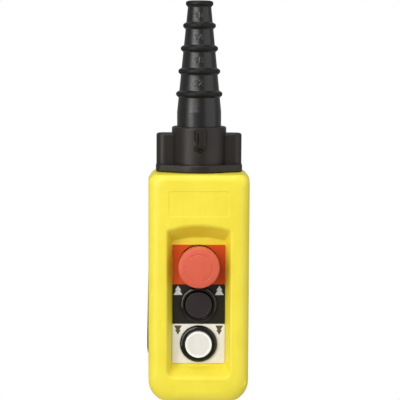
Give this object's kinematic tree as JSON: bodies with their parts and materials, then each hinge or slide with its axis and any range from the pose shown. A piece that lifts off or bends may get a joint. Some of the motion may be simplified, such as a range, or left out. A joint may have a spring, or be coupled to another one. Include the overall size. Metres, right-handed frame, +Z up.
{
  "type": "emergency stop pendant",
  "caption": "Hand-held pendant control station: yellow double-shell enclosure hung from a stepped cable sleeve, with a turn-to-release stop head and two push buttons in a recessed well.",
  "frame": {"origin": "middle of the cable bore at the mouth of the sleeve, the top of the part; it hangs from its cable", "axes": "+Z up out of the cable bore, -Y towards the operator, +X to the operator's right"},
  "size_m": [0.0791, 0.0735, 0.306],
  "materials": {
    "yellow_shell": "fine spark texture, satin",
    "strip_rubber": "matt",
    "collar_plastic": "fine grained",
    "sleeve_rubber": "satin",
    "seal_rubber": "matt",
    "black_plastic": "satin",
    "legend_red": "satin print",
    "legend_black": "satin print",
    "legend_white": "satin print",
    "stop_red": "satin",
    "cap_black": "satin",
    "cap_white": "satin",
    "bezel_black": "semi-gloss",
    "contact_brass": "plain",
    "zinc_steel": "zinc plated",
    "ivory_plastic": "plain"
  },
  "bodies": {
    "enclosure": {"front_shell": "yellow_shell", "rear_shell": "yellow_shell", "shell_gasket": "seal_rubber", "shell_screws": "zinc_steel", "thread_inserts": "contact_brass", "side_strip": "strip_rubber", "cable_collar": "collar_plastic", "collar_gasket": "seal_rubber", "cable_sleeve": "sleeve_rubber", "sleeve_clamp_ring": "black_plastic", "gland_clamp_base": "black_plastic", "gland_clamp_saddle": "black_plastic", "gland_clamp_screws": "zinc_steel", "legend_plate_stop": "legend_red", "legend_plate_up": "legend_black", "legend_plate_down": "legend_white", "estop_spring": "zinc_steel", "estop_bezel": "bezel_black", "estop_gasket": "seal_rubber", "estop_stem_seal": "seal_rubber", "estop_lock_nut": "ivory_plastic", "stop_block_housing": "ivory_plastic", "stop_block_spring": "zinc_steel", "stop_block_contacts": "contact_brass", "stop_block_screws": "zinc_steel", "up_spring": "zinc_steel", "up_bezel": "bezel_black", "up_gasket": "seal_rubber", "up_stem_seal": "seal_rubber", "up_lock_nut": "ivory_plastic", "up_block_housing": "ivory_plastic", "up_block_spring": "zinc_steel", "up_block_contacts": "contact_brass", "up_block_screws": "zinc_steel", "down_spring": "zinc_steel", "down_bezel": "bezel_black", "down_gasket": "seal_rubber", "down_stem_seal": "seal_rubber", "down_lock_nut": "ivory_plastic", "down_block_housing": "ivory_plastic", "down_block_spring": "zinc_steel", "down_block_contacts": "contact_brass", "down_block_screws": "zinc_steel"},
    "estop_plunger": {"estop_stem": "ivory_plastic", "stop_block_plunger": "black_plastic", "stop_block_bridge": "contact_brass"},
    "estop_knob": {"estop_head": "stop_red", "estop_latch_ring": "ivory_plastic"},
    "up_button": {"up_cap": "cap_black", "up_stem": "ivory_plastic", "up_block_plunger": "black_plastic", "up_block_bridge": "contact_brass"},
    "down_button": {"down_cap": "cap_white", "down_stem": "ivory_plastic", "down_block_plunger": "black_plastic", "down_block_bridge": "contact_brass"}
  },
  "joints": [
    {"name": "estop_press", "type": "slide", "parent": "enclosure", "child": "estop_plunger", "axis": [0, 1, 0], "range_m": [0, 0.0045], "stiffness_N_per_m": 1500, "springref_m": -0.004, "deforming": ["estop_spring", "stop_block_spring"]},
    {"name": "estop_twist", "type": "hinge", "parent": "estop_plunger", "child": "estop_knob", "pos_m": [0, -0.035, -0.1993], "axis": [0, 1, 0], "range_deg": [0, 40], "stiffness_Nm_per_rad": 0.05, "springref_deg": -11.46},
    {"name": "up_press", "type": "slide", "parent": "enclosure", "child": "up_button", "axis": [0, 1, 0], "range_m": [0, 0.0055], "stiffness_N_per_m": 700, "springref_m": -0.004, "deforming": ["up_spring", "up_block_spring"]},
    {"name": "down_press", "type": "slide", "parent": "enclosure", "child": "down_button", "axis": [0, 1, 0], "range_m": [0, 0.0055], "stiffness_N_per_m": 700, "springref_m": -0.004, "deforming": ["down_spring", "down_block_spring"]}
  ]
}
